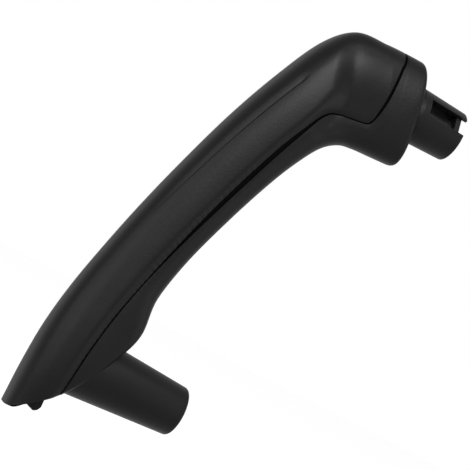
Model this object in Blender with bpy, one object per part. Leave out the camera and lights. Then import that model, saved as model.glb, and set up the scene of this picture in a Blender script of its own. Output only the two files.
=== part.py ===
# Vehicle door pull handle: a hollow grip cover clipped over a load-bearing carrier,
# with a steel sleeve in each of its two bolt bores.
# +Y points into the door along both bolts, +Z runs up the handle, X = 0 is its middle plane.
# The origin is the centre of the lower post's end, where the lower bolt pulls the handle home.

import bmesh
import bpy
import numpy as np
from math import cos, pi, radians, sin, tan
from mathutils import Matrix, Vector

MM = 0.001

# Bolt axes
BOLT_RISE = 174.6 * MM
BOLT_BORE_R = 4.4 * MM

# Lower post: a hollow cone with ribs, and a boss for the sleeve in its middle
POST_END_R = 12.1 * MM
POST_DRAFT = radians(3.5)
POST_END_ROUND = 1.6 * MM
POST_WALL = 2.4 * MM
POST_POCKET_DEPTH = 30.0 * MM
POST_RIBS = 6
POST_RIB_THICKNESS = 1.6 * MM
LOWER_SEAT_Y = -50.0 * MM
POST_ROOT = 10.0 * MM

# Half the width of the grip beside the post: just over the post's radius at its root, in mm
POST_SIDE_MARGIN = 0.2 * MM
FOOT_HALF = (POST_END_R - (LOWER_SEAT_Y - POST_ROOT) * tan(POST_DRAFT) + POST_SIDE_MARGIN) / MM

# Outline of the grip in the middle plane, bottom first, in mm from the origin:
# front edge y, z, back edge y, z, and half the width across X there
GRIP_ROWS = (
    (-76.3, -32.0, -56.2, -14.2, 13.5),
    (-76.6, -11.0, -50.0, -4.0, FOOT_HALF - 0.2),
    (-75.9, 9.0, -41.2, 10.0, FOOT_HALF + 0.2),
    (-73.1, 30.0, -36.2, 24.5, FOOT_HALF - 0.3),
    (-68.0, 53.5, -36.1, 42.0, 15.0),
    (-61.5, 79.0, -31.7, 64.0, 14.7),
    (-53.5, 106.0, -23.3, 90.0, 14.7),
    (-44.1, 134.0, -14.5, 113.0, 15.0),
)
# The same for the bend and the head, with z counted from the upper bolt axis.
# The last row is the end face that seats on the door trim, so it leans with the trim.
HEAD_ROWS = (
    (-33.8, -13.9, -7.7, -47.1, 15.5),
    (-22.3, 9.0, -0.8, -36.1, 15.8),
    (-9.8, 19.7, 6.8, -30.3, 15.8),
    (6.0, 22.2, 15.0, -28.4, 15.5),
    (16.5, 22.9, 25.5, -27.5, 15.3),
    (26.8, 23.2, 36.1, -26.6, 15.0),
)
SECTION_POWER = 2.8
HEAD_RIM_ROUND = 2.4 * MM
TIP_RIM_ROUND = 0.8 * MM

# Parting line between cover and carrier, seen from the side: y, z in mm
GRIP_PARTING = (
    (-58.6, -60.0), (-58.0, -13.0), (-55.6, 14.0), (-49.8, 42.0), (-38.0, 82.0), (-23.2, 124.0),
)
HEAD_PARTING = (
    (-13.6, -28.6), (-8.0, -21.2), (0.5, -17.9), (8.2, -16.4),
    (12.0, -13.6), (13.3, -8.6), (14.1, 4.0), (14.4, 20.0), (14.6, 60.0),
)
PARTING_GAP = 0.8 * MM

# Walls and clearances; a cutter runs past what it cuts by the overcut
OVERCUT = 1.0 * MM
COVER_WALL = 2.6 * MM
CLEARANCE = 0.4 * MM
FIT_GAP = 0.3 * MM
CARRIER_WALL = 2.4 * MM
CARRIER_BACK = 3.0 * MM
LIP_HEIGHT = 8.0 * MM
FOOT_RECESS = 1.2 * MM
FOOT_PLATE = 2.6 * MM
HEAD_WALL = 3.2 * MM
RIB_PITCH = 23.0 * MM
RIB_THICKNESS = 2.0 * MM

# Upper stub
STUB_END_Y = 57.0 * MM
STUB_END_R = 12.4 * MM
STUB_DRAFT = radians(2.2)
STUB_END_ROUND = 0.8 * MM
STUB_WALL = 2.3 * MM
STUB_RING = 3.0 * MM
RIM_WALL = 1.8 * MM
NOTCH_DEPTH = 0.8 * MM
LOBE_HEIGHT = 2.4 * MM
SLOT_WIDTH = 8.4 * MM
SLOT_ANGLE = radians(30.0)
SLOT_START_Y = 37.0 * MM
UPPER_SEAT_Y = 11.0 * MM

# Sleeves
SLEEVE_WALL = 1.7 * MM
FLANGE_R = 8.6 * MM
FLANGE_THICKNESS = 1.6 * MM
BOSS_WALL = 2.0 * MM
HEAD_WELL_DEPTH = 19.0 * MM

# Locating tab under the lower tip
TAB_HALF_WIDTH = 5.0 * MM
TAB_TIP_Y = -60.6 * MM
TAB_LOW_Z = -26.2 * MM
TAB_HEIGHT = 6.5 * MM
TAB_ROOT_Y = -68.0 * MM

# Finger step on each front shoulder of the cover
STEP_LOW = 92.0 * MM
STEP_LENGTH = 104.0 * MM
STEP_LOW_X = 9.4 * MM
STEP_TOP_X = 12.0 * MM
STEP_DEPTH = 0.7 * MM
STEP_WIDTH = 2.8 * MM

# Cover clips
CLIP_BAYS = (2, 3, 5, 6)
CLIP_THICKNESS = 0.8 * MM
CLIP_WIDTH = 6.5 * MM
CLIP_LEG = 9.0 * MM
CLIP_DEPTH = 11.0 * MM
LUG_THICKNESS = 2.0 * MM
LUG_WIDTH = 7.5 * MM
GUIDE_THICKNESS = 1.6 * MM
GUIDE_WIDTH = 8.0 * MM
GUIDE_OVERRUN = 2.0 * MM

# Facets
AROUND = 28
RINGS_PER_ROW = 3
ROUND_SIDES = 32

SLEEVE_R = BOLT_BORE_R + SLEEVE_WALL
BORE_R = SLEEVE_R + FIT_GAP
BOSS_R = BORE_R + BOSS_WALL
CAVITY_SIDE = COVER_WALL + CLEARANCE + CARRIER_WALL


def clear_scene():
    for thing in list(bpy.data.objects):
        bpy.data.objects.remove(thing, do_unlink=True)
    for mesh in list(bpy.data.meshes):
        bpy.data.meshes.remove(mesh)


def material(name, colour, roughness, metallic=0.0):
    made = bpy.data.materials.new(name)
    made.use_nodes = True
    shader = made.node_tree.nodes["Principled BSDF"]
    shader.inputs["Base Color"].default_value = (*colour, 1.0)
    shader.inputs["Roughness"].default_value = roughness
    shader.inputs["Metallic"].default_value = metallic
    made.diffuse_color = (*colour, 1.0)
    return made


def smooth_through(points, at):
    # A smooth curve through the rows of points, read at row numbers that may be fractions.
    points = np.asarray(points, float)
    padded = np.vstack([2 * points[0] - points[1], points, 2 * points[-1] - points[-2]])
    row = np.clip(np.floor(at).astype(int), 0, len(points) - 2)
    f = (at - row)[:, None]
    a, b, c, d = (padded[row + i] for i in range(4))
    bend = (2 * a - 5 * b + 4 * c - d) * f**2 + (3 * b - a - 3 * c + d) * f**3
    return 0.5 * (2 * b + (c - a) * f + bend)


def outline_rows():
    rows = [np.array(row) * MM for row in GRIP_ROWS]
    for fy, fz, by, bz, half in HEAD_ROWS:
        rows.append(np.array([fy, 0, by, 0, half]) * MM + [0, BOLT_RISE + fz * MM, 0, BOLT_RISE + bz * MM, 0])
    return np.array(rows)


ROWS = outline_rows()
FINE = np.linspace(0, len(ROWS) - 1, 40 * (len(ROWS) - 1) + 1)
MIDDLE = smooth_through(ROWS, FINE)
MIDDLE = (MIDDLE[:, 0:2] + MIDDLE[:, 2:4]) / 2
ALONG = np.concatenate([[0], np.cumsum(np.linalg.norm(np.diff(MIDDLE, axis=0), axis=1))])


def row_at(length):
    # The row number at a length along the handle's middle line, from its lower end.
    return float(np.interp(length, ALONG, FINE))


def section(at):
    # Front point, back point and half width of the handle at a row number.
    fy, fz, by, bz, half = smooth_through(ROWS, np.array([at]))[0]
    return np.array([fy, fz]), np.array([by, bz]), half


def ring_at(at, side, front, back):
    # One closed section, drawn in by the three insets.
    f, b, half = section(at)
    across = (b - f) / np.linalg.norm(b - f)
    f, b, half = f + across * front, b - across * back, half - side
    middle, reach = (f + b) / 2, (b - f) / 2
    points = []
    for i in range(AROUND):
        angle = 2 * pi * i / AROUND
        x = half * np.sign(cos(angle)) * abs(cos(angle)) ** (2 / SECTION_POWER)
        n = np.sign(sin(angle)) * abs(sin(angle)) ** (2 / SECTION_POWER)
        y, z = middle + reach * n
        points.append(Vector((x, y, z)))
    return points


def link(name, mesh, paint=None, helper=False):
    made = bpy.data.objects.new(name, mesh)
    bpy.context.scene.collection.objects.link(made)
    if paint:
        mesh.materials.append(paint)
        mesh.shade_smooth()
        mesh.set_sharp_from_angle(angle=radians(35))
    if helper:
        made.hide_render = True
        made.display_type = "WIRE"
    return made


def skin(name, rings, round_ends=(0, 0)):
    # A closed mesh over a row of rings, with a flat cap at each end.
    mesh = bpy.data.meshes.new(name)
    bm = bmesh.new()
    loops = [[bm.verts.new(p) for p in ring] for ring in rings]
    sides = len(loops[0])
    for low, high in zip(loops, loops[1:]):
        for i in range(sides):
            j = (i + 1) % sides
            bm.faces.new((low[i], low[j], high[j], high[i]))
    caps = [bm.faces.new(loops[0]), bm.faces.new(loops[-1])]
    bmesh.ops.recalc_face_normals(bm, faces=bm.faces)
    if any(round_ends):
        weight = bm.edges.layers.float.new("bevel_weight_edge")
        for cap, share in zip(caps, round_ends):
            for edge in cap.edges:
                edge[weight] = share
    else:
        bmesh.ops.triangulate(bm, faces=bm.faces)
    bm.to_mesh(mesh)
    bm.free()
    return mesh


def loft(name, low, high, side, front, back, round_ends=(0, 0), overrun=0.0):
    # The handle's own shape between two lengths, drawn in by the three insets.
    start, stop = row_at(low), row_at(high)
    count = max(2, round((stop - start) * RINGS_PER_ROW) + 1)
    rings = [ring_at(at, side, front, back) for at in np.linspace(start, stop, count)]
    if overrun:
        down = Vector((0, *(MIDDLE[0] - MIDDLE[1]))).normalized() * overrun
        rings.insert(0, [p + down for p in rings[0]])
    return skin(name, rings, round_ends)


def turned(name, profile, z, sides=ROUND_SIDES):
    # A closed body turned about a line along Y at height z; the profile is (y, radius) rows.
    rings = []
    for y, r in profile:
        angles = [2 * pi * i / sides for i in range(sides)]
        rings.append([Vector((r * cos(a), y, z + r * sin(a))) for a in angles])
    return skin(name, rings)


def tube(name, profile, z, sides=ROUND_SIDES):
    # A ring-shaped body turned about a line along Y: the profile closes on itself.
    mesh = bpy.data.meshes.new(name)
    bm = bmesh.new()
    loops = []
    for y, r in profile:
        angles = [2 * pi * i / sides for i in range(sides)]
        loops.append([bm.verts.new((r * cos(a), y, z + r * sin(a))) for a in angles])
    for low, high in zip(loops, loops[1:] + loops[:1]):
        for i in range(sides):
            j = (i + 1) % sides
            bm.faces.new((low[i], low[j], high[j], high[i]))
    bmesh.ops.recalc_face_normals(bm, faces=bm.faces)
    bm.to_mesh(mesh)
    bm.free()
    return mesh


def block(name, low, high, place=None):
    # A box between two corners, then placed.
    mesh = bpy.data.meshes.new(name)
    bm = bmesh.new()
    bmesh.ops.create_cube(bm, size=1.0)
    low, high = Vector(low), Vector(high)
    size = Matrix.Diagonal(Vector((*(high - low), 1.0)))
    bmesh.ops.transform(bm, matrix=Matrix.Translation((low + high) / 2) @ size, verts=bm.verts)
    if place is not None:
        bmesh.ops.transform(bm, matrix=place, verts=bm.verts)
    bm.to_mesh(mesh)
    bm.free()
    return mesh


def slab(name, outline, half_width):
    # A (y, z) outline stretched across X.
    rings = [[Vector((x, y, z)) for y, z in outline] for x in (-half_width, half_width)]
    return skin(name, rings)


def boolean(target, cutter, operation):
    step = target.modifiers.new(cutter.name, "BOOLEAN")
    step.operation = operation
    step.object = cutter
    step.solver = "EXACT"


def parting_curve(per_row):
    rows = [np.array(p) * MM for p in GRIP_PARTING]
    rows += [np.array([y * MM, BOLT_RISE + z * MM]) for y, z in HEAD_PARTING]
    return smooth_through(rows, np.linspace(0, len(rows) - 1, per_row * (len(rows) - 1) + 1))


def beside_parting(distance):
    # The parting line moved sideways, to its front side for a positive distance.
    # Where it turns tighter than that, the points that would cross over are left out.
    curve, fine = parting_curve(3), parting_curve(30)
    ahead = np.gradient(fine, axis=0)[::10]
    ahead /= np.linalg.norm(ahead, axis=1)[:, None]
    moved = curve + distance * np.column_stack([-ahead[:, 1], ahead[:, 0]])
    gaps = np.linalg.norm(moved[:, None] - fine[None], axis=2).min(axis=1)
    return moved[gaps > 0.98 * abs(distance)]


def side_of_parting(name, distance, front):
    # A slab that holds everything on one side of the parting line.
    edge = beside_parting(distance)
    far = (-0.2 if front else 0.2) + edge[:, 0].mean()
    outline = [tuple(p) for p in edge] + [(far, edge[-1][1]), (far, edge[0][1])]
    return link(name, slab(name, outline, 0.05), helper=True)


def frame_at(length):
    # Place at the front of the handle: X across, Y down along the front, Z square to it and inwards.
    # The depth is how far the handle's back is from there.
    at = row_at(length)
    along = section(at - 0.05)[0] - section(at + 0.05)[0]
    along /= np.linalg.norm(along)
    inward = np.array([-along[1], along[0]])
    front = section(at)[0]
    reach = smooth_through(ROWS, FINE)[:, 2:4] - front
    depth = float((reach @ inward)[np.abs(reach @ along).argmin()])
    turn = Matrix(((1, 0, 0), (0, *along), (0, *inward))).transposed().to_4x4()
    return Matrix.Translation((0, *front)) @ turn, depth


clear_scene()
cover_plastic = material("cover_plastic", (0.030, 0.030, 0.032), 0.46)
carrier_plastic = material("carrier_plastic", (0.027, 0.027, 0.029), 0.50)
sleeve_steel = material("sleeve_steel", (0.34, 0.34, 0.35), 0.38, 1.0)
clip_steel = material("clip_steel", (0.42, 0.42, 0.43), 0.32, 1.0)

TOTAL = float(ALONG[-1])
ROUNDS = (TIP_RIM_ROUND / HEAD_RIM_ROUND, 1.0)

# Bays of the carrier's channel, between its cross ribs
channel_low = FOOT_RECESS + FOOT_PLATE
channel_high = TOTAL - HEAD_WALL
bay_count = max(3, round((channel_high - channel_low) / RIB_PITCH))
bay_step = (channel_high - channel_low + RIB_THICKNESS) / bay_count
bays = [(channel_low + i * bay_step, channel_low + (i + 1) * bay_step - RIB_THICKNESS) for i in range(bay_count)]


def outer_body(name, paint):
    made = link(name, loft(name, 0, TOTAL, 0, 0, 0, ROUNDS), paint)
    rim = made.modifiers.new("rim", "BEVEL")
    rim.limit_method = "WEIGHT"
    rim.width = HEAD_RIM_ROUND
    rim.segments = 2
    made.modifiers.new("facets", "TRIANGULATE")
    return made


# Grip cover: the front side of the body, hollowed
cover = outer_body("grip_cover", cover_plastic)
boolean(cover, side_of_parting("cover_side", PARTING_GAP / 2, True), "INTERSECT")
hollow = loft("cover_hollow", 0, TOTAL, COVER_WALL, COVER_WALL, COVER_WALL, overrun=4 * OVERCUT)
boolean(cover, link("cover_hollow", hollow, helper=True), "DIFFERENCE")


def finger_step(side):
    # A shallow groove along the front shoulder, full at its upper end and fading out below.
    rings = []
    lengths = np.linspace(STEP_LOW, STEP_LOW + STEP_LENGTH, 15)
    for length in lengths:
        share = (length - STEP_LOW) / STEP_LENGTH
        f, b, half = section(row_at(length))
        x = STEP_LOW_X + (STEP_TOP_X - STEP_LOW_X) * share
        fall = (1 - (x / half) ** SECTION_POWER) ** (1 / SECTION_POWER)
        slope = (x / half) ** (SECTION_POWER - 1) / half
        rise = fall ** (SECTION_POWER - 1) / (np.linalg.norm(b - f) / 2)
        y, z = (f + b) / 2 - (b - f) / 2 * fall
        front = -Vector((0, *(b - f))).normalized()
        out = (Vector((side * slope, 0, 0)) + front * rise).normalized()
        across = Vector((side, 0, 0)) - out * out.x * side
        across.normalize()
        fade = min(1.0, 0.25 + 1.6 * share)
        here = Vector((side * x, y, z))
        half_width = STEP_WIDTH * fade / 2
        rings.append([
            here + out * MM - across * half_width, here - out * STEP_DEPTH * fade - across * half_width * 0.1,
            here - out * STEP_DEPTH * fade * 0.4 + across * half_width, here + out * MM + across * half_width,
        ])
    return skin(f"finger_step_{'right' if side > 0 else 'left'}", rings)


for side in (1, -1):
    step = finger_step(side)
    boolean(cover, link(step.name, step, helper=True), "DIFFERENCE")

# Carrier: the back side of the body and the lower post, with a lip that stands up inside the cover
carrier = outer_body("carrier", carrier_plastic)
post_root = LOWER_SEAT_Y - POST_ROOT
post_profile = [
    (post_root, POST_END_R - post_root * tan(POST_DRAFT)),
    (-POST_END_ROUND, POST_END_R + POST_END_ROUND * tan(POST_DRAFT)),
    (-0.3 * POST_END_ROUND, POST_END_R - 0.3 * POST_END_ROUND),
    (0, POST_END_R - POST_END_ROUND),
]
boolean(carrier, link("post", turned("post", post_profile, 0), helper=True), "UNION")
boolean(carrier, side_of_parting("carrier_side", -PARTING_GAP / 2, False), "INTERSECT")
inset = COVER_WALL + CLEARANCE
lip = link("lip", loft("lip", FOOT_RECESS, TOTAL - HEAD_RIM_ROUND - OVERCUT, inset, inset, inset), helper=True)
boolean(lip, side_of_parting("lip_side", LIP_HEIGHT, False), "INTERSECT")
boolean(carrier, lip, "UNION")
plate_inset = inset + CLEARANCE / 2
plate = loft("foot_plate", FOOT_RECESS + CLEARANCE / 2, channel_low + OVERCUT, plate_inset, plate_inset, plate_inset)
boolean(carrier, link("foot_plate", plate, helper=True), "UNION")

# Upper stub as a solid cone, before the channel is cut
stub_root = 0.5 * (ROWS[-1][0] + UPPER_SEAT_Y)
stub_profile = [
    (stub_root, STUB_END_R + (STUB_END_Y - stub_root) * tan(STUB_DRAFT)),
    (STUB_END_Y - STUB_END_ROUND, STUB_END_R),
    (STUB_END_Y, STUB_END_R - STUB_END_ROUND),
]
boolean(carrier, link("stub", turned("stub", stub_profile, BOLT_RISE), helper=True), "UNION")

# The channel; its lowest bay keeps a wall of its own behind it, where the cover wraps round the tip
for i, (low, high) in enumerate(bays):
    back = CARRIER_BACK if i else CAVITY_SIDE
    mesh = loft(f"bay_{i + 1}", low, high, CAVITY_SIDE, CAVITY_SIDE, back)
    boolean(carrier, link(f"bay_{i + 1}", mesh, helper=True), "DIFFERENCE")

# Bosses that carry the sleeves
lower_boss = turned("lower_boss", [(LOWER_SEAT_Y, BOSS_R), (-POST_POCKET_DEPTH - 4 * OVERCUT, BOSS_R)], 0)
boolean(carrier, link("lower_boss", lower_boss, helper=True), "UNION")
upper_boss = turned("upper_boss", [(UPPER_SEAT_Y, BOSS_R), (SLOT_START_Y - 4 * OVERCUT, BOSS_R)], BOLT_RISE)
boolean(carrier, link("upper_boss", upper_boss, helper=True), "UNION")

# Wells that clear the bolt heads and the sleeves' flanges
for name, seat, z in (("lower_well", LOWER_SEAT_Y, 0), ("upper_well", UPPER_SEAT_Y, BOLT_RISE)):
    well = turned(name, [(seat - HEAD_WELL_DEPTH, FLANGE_R + CLEARANCE), (seat, FLANGE_R + CLEARANCE)], z)
    boolean(carrier, link(name, well, helper=True), "DIFFERENCE")

# Pocket between the post's wall and its boss, open at the post's end
pocket_low, pocket_high = -POST_POCKET_DEPTH, 2 * OVERCUT
pocket = tube(
    "post_pocket",
    [
        (pocket_low, POST_END_R - pocket_low * tan(POST_DRAFT) - POST_WALL),
        (pocket_high, POST_END_R - pocket_high * tan(POST_DRAFT) - POST_WALL),
        (pocket_high, BOSS_R),
        (pocket_low, BOSS_R),
    ],
    0,
)
pocket = link("post_pocket", pocket, helper=True)
for i in range(POST_RIBS):
    turn = Matrix.Rotation(2 * pi * i / POST_RIBS, 4, "Y")
    half = POST_RIB_THICKNESS / 2
    rib = block(f"post_rib_{i + 1}", (0, -0.05, -half), (0.03, 0.01, half), turn)
    boolean(pocket, link(f"post_rib_{i + 1}", rib, helper=True), "DIFFERENCE")
boolean(carrier, pocket, "DIFFERENCE")

# Hollow stub with an end ring and a keyed rim
ring_y = STUB_END_Y - LOBE_HEIGHT
stub_inner = STUB_END_R - STUB_WALL
hollow_stub = turned("stub_hollow", [(SLOT_START_Y - OVERCUT, stub_inner), (ring_y - STUB_RING, stub_inner)], BOLT_RISE)
boolean(carrier, link("stub_hollow", hollow_stub, helper=True), "DIFFERENCE")
rim_r = STUB_END_R - RIM_WALL
for side, angle in (("right", -SLOT_ANGLE), ("left", SLOT_ANGLE - pi)):
    turn = Matrix.Translation((0, 0, BOLT_RISE)) @ Matrix.Rotation(angle, 4, "Y")
    window = block(
        f"window_{side}", (SLEEVE_R + OVERCUT, SLOT_START_Y, -SLOT_WIDTH / 2),
        (0.02, ring_y - STUB_RING, SLOT_WIDTH / 2), turn,
    )
    boolean(carrier, link(f"window_{side}", window, helper=True), "DIFFERENCE")
    notch = block(
        f"notch_{side}", (rim_r - NOTCH_DEPTH, ring_y - STUB_RING - 0.1 * MM, -SLOT_WIDTH / 2 + 0.05 * MM),
        (0.02, STUB_END_Y + OVERCUT, SLOT_WIDTH / 2 - 0.05 * MM), turn,
    )
    boolean(carrier, link(f"notch_{side}", notch, helper=True), "DIFFERENCE")
recess = turned("stub_recess", [(ring_y, rim_r), (STUB_END_Y + OVERCUT, rim_r)], BOLT_RISE)
boolean(carrier, link("stub_recess", recess, helper=True), "DIFFERENCE")

# Locating tab, a prong along +Y under the tip
tab_outline = [
    (TAB_ROOT_Y - 4 * MM, TAB_LOW_Z + 2 * MM), (TAB_ROOT_Y, TAB_LOW_Z),
    (TAB_TIP_Y - 1.5 * MM, TAB_LOW_Z), (TAB_TIP_Y, TAB_LOW_Z + 2.2 * MM),
    (TAB_TIP_Y, TAB_LOW_Z + TAB_HEIGHT), (TAB_ROOT_Y, TAB_LOW_Z + TAB_HEIGHT + 3 * MM),
]
boolean(carrier, link("tab", slab("tab", tab_outline, TAB_HALF_WIDTH), helper=True), "UNION")

# Bolt bores through the carrier
for name, low, high, z in (
    ("lower_bore", LOWER_SEAT_Y - OVERCUT, 5 * OVERCUT, 0),
    ("upper_bore", UPPER_SEAT_Y - OVERCUT, STUB_END_Y + 5 * OVERCUT, BOLT_RISE),
):
    boolean(carrier, link(name, turned(name, [(low, BORE_R), (high, BORE_R)], z), helper=True), "DIFFERENCE")

# Sleeves, with the flange under the bolt's head
for name, seat, end, z in (
    ("lower_sleeve", LOWER_SEAT_Y - FIT_GAP, 0.0, 0),
    ("upper_sleeve", UPPER_SEAT_Y - FIT_GAP, ring_y, BOLT_RISE),
):
    profile = [
        (seat - FLANGE_THICKNESS, BOLT_BORE_R), (seat - FLANGE_THICKNESS, FLANGE_R), (seat, FLANGE_R),
        (seat, SLEEVE_R), (end, SLEEVE_R), (end, BOLT_BORE_R),
    ]
    link(name, tube(name, profile, z), sleeve_steel)

# Clips: each straddles a lug of the carrier, between two guides of the cover
for number, bay in enumerate(CLIP_BAYS, 1):
    low, high = bays[min(bay, bay_count - 1)]
    place, depth = frame_at((low + high) / 2)
    inner = LUG_THICKNESS / 2 + FIT_GAP
    outer = inner + CLIP_THICKNESS
    lug_top = CLIP_DEPTH + CLIP_THICKNESS + FIT_GAP
    lug = block(
        f"lug_{number}", (-LUG_THICKNESS / 2, -LUG_WIDTH / 2, lug_top),
        (LUG_THICKNESS / 2, LUG_WIDTH / 2, depth - CARRIER_BACK * 0.6), place,
    )
    boolean(carrier, link(f"lug_{number}", lug, helper=True), "UNION")
    for side in (-1, 1):
        near, far = outer + FIT_GAP, outer + FIT_GAP + GUIDE_THICKNESS
        guide = block(
            f"guide_{number}_{'a' if side < 0 else 'b'}",
            (min(side * near, side * far), -GUIDE_WIDTH / 2, COVER_WALL / 2),
            (max(side * near, side * far), GUIDE_WIDTH / 2, CLIP_DEPTH + CLIP_LEG - GUIDE_OVERRUN), place,
        )
        boolean(cover, link(guide.name, guide, helper=True), "UNION")
    bend = [(-outer, CLIP_LEG), (-outer, 0), (outer, 0), (outer, CLIP_LEG), (inner, CLIP_LEG),
            (inner, CLIP_THICKNESS), (-inner, CLIP_THICKNESS), (-inner, CLIP_LEG)]
    rings = [
        [place @ Vector((x, y, CLIP_DEPTH + z)) for x, z in bend]
        for y in (-CLIP_WIDTH / 2, CLIP_WIDTH / 2)
    ]
    name = f"cover_clip_{number}"
    link(name, skin(name, rings), clip_steel)

bpy.context.view_layer.update()
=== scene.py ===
# Door pull handle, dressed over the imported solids: grip cover, carrier with its two posts, sleeves and clips.
from math import atan2, cos, pi, radians, sin, tan

import bpy
import numpy as np
from mathutils import Matrix, Vector


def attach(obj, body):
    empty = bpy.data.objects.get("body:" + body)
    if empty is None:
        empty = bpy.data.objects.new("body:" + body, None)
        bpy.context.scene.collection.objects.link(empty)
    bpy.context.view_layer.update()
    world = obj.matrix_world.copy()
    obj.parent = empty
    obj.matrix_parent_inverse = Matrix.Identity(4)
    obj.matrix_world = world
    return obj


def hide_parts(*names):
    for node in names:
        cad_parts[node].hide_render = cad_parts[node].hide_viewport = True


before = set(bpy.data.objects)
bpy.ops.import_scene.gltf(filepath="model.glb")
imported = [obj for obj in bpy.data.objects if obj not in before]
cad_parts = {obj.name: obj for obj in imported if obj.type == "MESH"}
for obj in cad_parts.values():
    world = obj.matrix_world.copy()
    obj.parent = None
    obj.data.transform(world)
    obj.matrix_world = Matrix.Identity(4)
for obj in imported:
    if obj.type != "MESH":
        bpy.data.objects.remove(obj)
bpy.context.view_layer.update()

mm = 0.001

# Outline in the middle plane, in mm: front y, z, back y, z, half width; the head's z counts from the upper bolt
handle = {
    "boltRise": 174.6,
    "gripRows": (
        (-76.5, -31.1, -56.2, -14.2, 13.5), (-76.6, -11.0, -49.1, -4.2, 15.77), (-75.9, 9.0, -41.8, 10.0, 16.17),
        (-73.1, 30.0, -36.2, 24.5, 15.67), (-68.0, 53.5, -36.1, 42.0, 15.0), (-61.5, 79.0, -31.7, 64.0, 14.7),
        (-53.5, 106.0, -23.3, 90.0, 14.7), (-44.1, 134.0, -14.5, 113.0, 15.0),
    ),
    "headRows": (
        (-33.2, -14.2, -7.7, -47.1, 15.5), (-21.7, 8.5, -0.8, -36.1, 15.8), (-9.9, 20.1, 6.8, -30.3, 15.8),
        (6.0, 22.2, 15.0, -28.4, 15.5), (16.5, 22.9, 25.5, -27.5, 15.3), (26.9, 23.2, 36.4, -26.6, 15.5),
    ),
    "sectionPower": 2.8, "headPower": 2.35, "powerFrom": 8.0, "powerTo": 10.0,
    "footPower": 7.0, "footFrom": 2.2, "footTo": 4.2, "rowReach": 0.56, "headY": 8.0, "seamCorner": 7, "fine": 40,
    "gripSeam": ((-58.6, -60.0), (-58.0, -13.0), (-55.6, 14.0), (-49.8, 42.0), (-38.0, 82.0), (-23.2, 124.0)),
    "headSeam": (
        (-13.6, -28.4), (-8.4, -20.7), (-3.4, -18.2), (1.8, -17.2), (7.6, -16.2),
        (10.4, -15.6), (11.7, -14.9), (12.4, -13.6), (12.8, -11.4), (13.4, -6.8),
        (13.9, -1.8), (14.1, 6.3), (14.4, 14.5), (15.3, 22.0), (16.5, 60.0),
    ),
}


def ease(value):
    value = np.clip(value, 0, 1)
    return value * value * (3 - 2 * value)


def between(low, high, share):
    return low + (high - low) * share


def powerAt(row, n):
    # how square the section is at a row number: rounder at the head, and square at the back of the foot
    h = handle
    toHead = ease((row - h["powerFrom"]) / (h["powerTo"] - h["powerFrom"]))
    pastFoot = ease((row - h["footFrom"]) / (h["footTo"] - h["footFrom"]))
    plain = between(h["sectionPower"], h["headPower"], toHead)
    foot = between(h["footPower"], h["sectionPower"], pastFoot)
    return np.where(n > 0, np.maximum(plain, foot), plain)


def smoothThrough(points, at):
    # a smooth curve through the points, read at row numbers that may be fractions
    points = np.asarray(points, float)
    padded = np.vstack([2 * points[0] - points[1], points, 2 * points[-1] - points[-2]])
    row = np.clip(np.floor(at).astype(int), 0, len(points) - 2)
    f = (at - row)[:, None]
    a, b, c, d = (padded[row + i] for i in range(4))
    bend = (2 * a - 5 * b + 4 * c - d) * f**2 + (3 * b - a - 3 * c + d) * f**3
    return 0.5 * (2 * b + (c - a) * f + bend)


def fineCurve(points):
    last = len(points) - 1
    return smoothThrough(points, np.linspace(0, last, handle["fine"] * last + 1))


rise = handle["boltRise"]
rows = [list(row) for row in handle["gripRows"]]
rows += [[fy, rise + fz, by, rise + bz, half] for fy, fz, by, bz, half in handle["headRows"]]
lastRow = len(rows) - 1
fineRows = fineCurve(rows)
headSeam = [(y, rise + z) for y, z in handle["headSeam"]]
seamCurve = fineCurve(list(handle["gripSeam"]) + headSeam)
chunk = 4000  # points that are compared with a curve at a time


def sideAt(points):
    # half the handle's width at each (y, z) of the middle plane, in mm
    front, reach, half = fineRows[:, 0:2], fineRows[:, 2:4] - fineRows[:, 0:2], fineRows[:, 4]
    found = np.empty(len(points))
    for start in range(0, len(points), chunk):
        p = np.asarray(points[start:start + chunk])[:, None, :] - front[None]
        aside = p[..., 1] * reach[:, 0] - p[..., 0] * reach[:, 1]
        share = (p * reach).sum(axis=2) / (reach**2).sum(axis=1)
        within = np.abs(share[:, :-1] - 0.5) < handle["rowReach"]
        crosses = (np.sign(aside[:, :-1]) != np.sign(aside[:, 1:])) & within
        at = np.where(crosses.any(axis=1), crosses.argmax(axis=1), np.abs(aside).argmin(axis=1))
        at = np.clip(at, 0, len(half) - 2)
        line = np.arange(len(at))
        a, b = aside[line, at], aside[line, at + 1]
        f = np.where(a != b, a / np.where(a != b, a - b, 1), 0).clip(0, 1)
        n = 2 * (share[line, at] * (1 - f) + share[line, at + 1] * f) - 1
        power = powerAt(at * lastRow / (len(half) - 1), n)
        fall = (1 - np.abs(n).clip(0, 1)**power)**(1 / power)
        found[start:start + chunk] = (half[at] * (1 - f) + half[at + 1] * f) * fall
    return found


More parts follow.
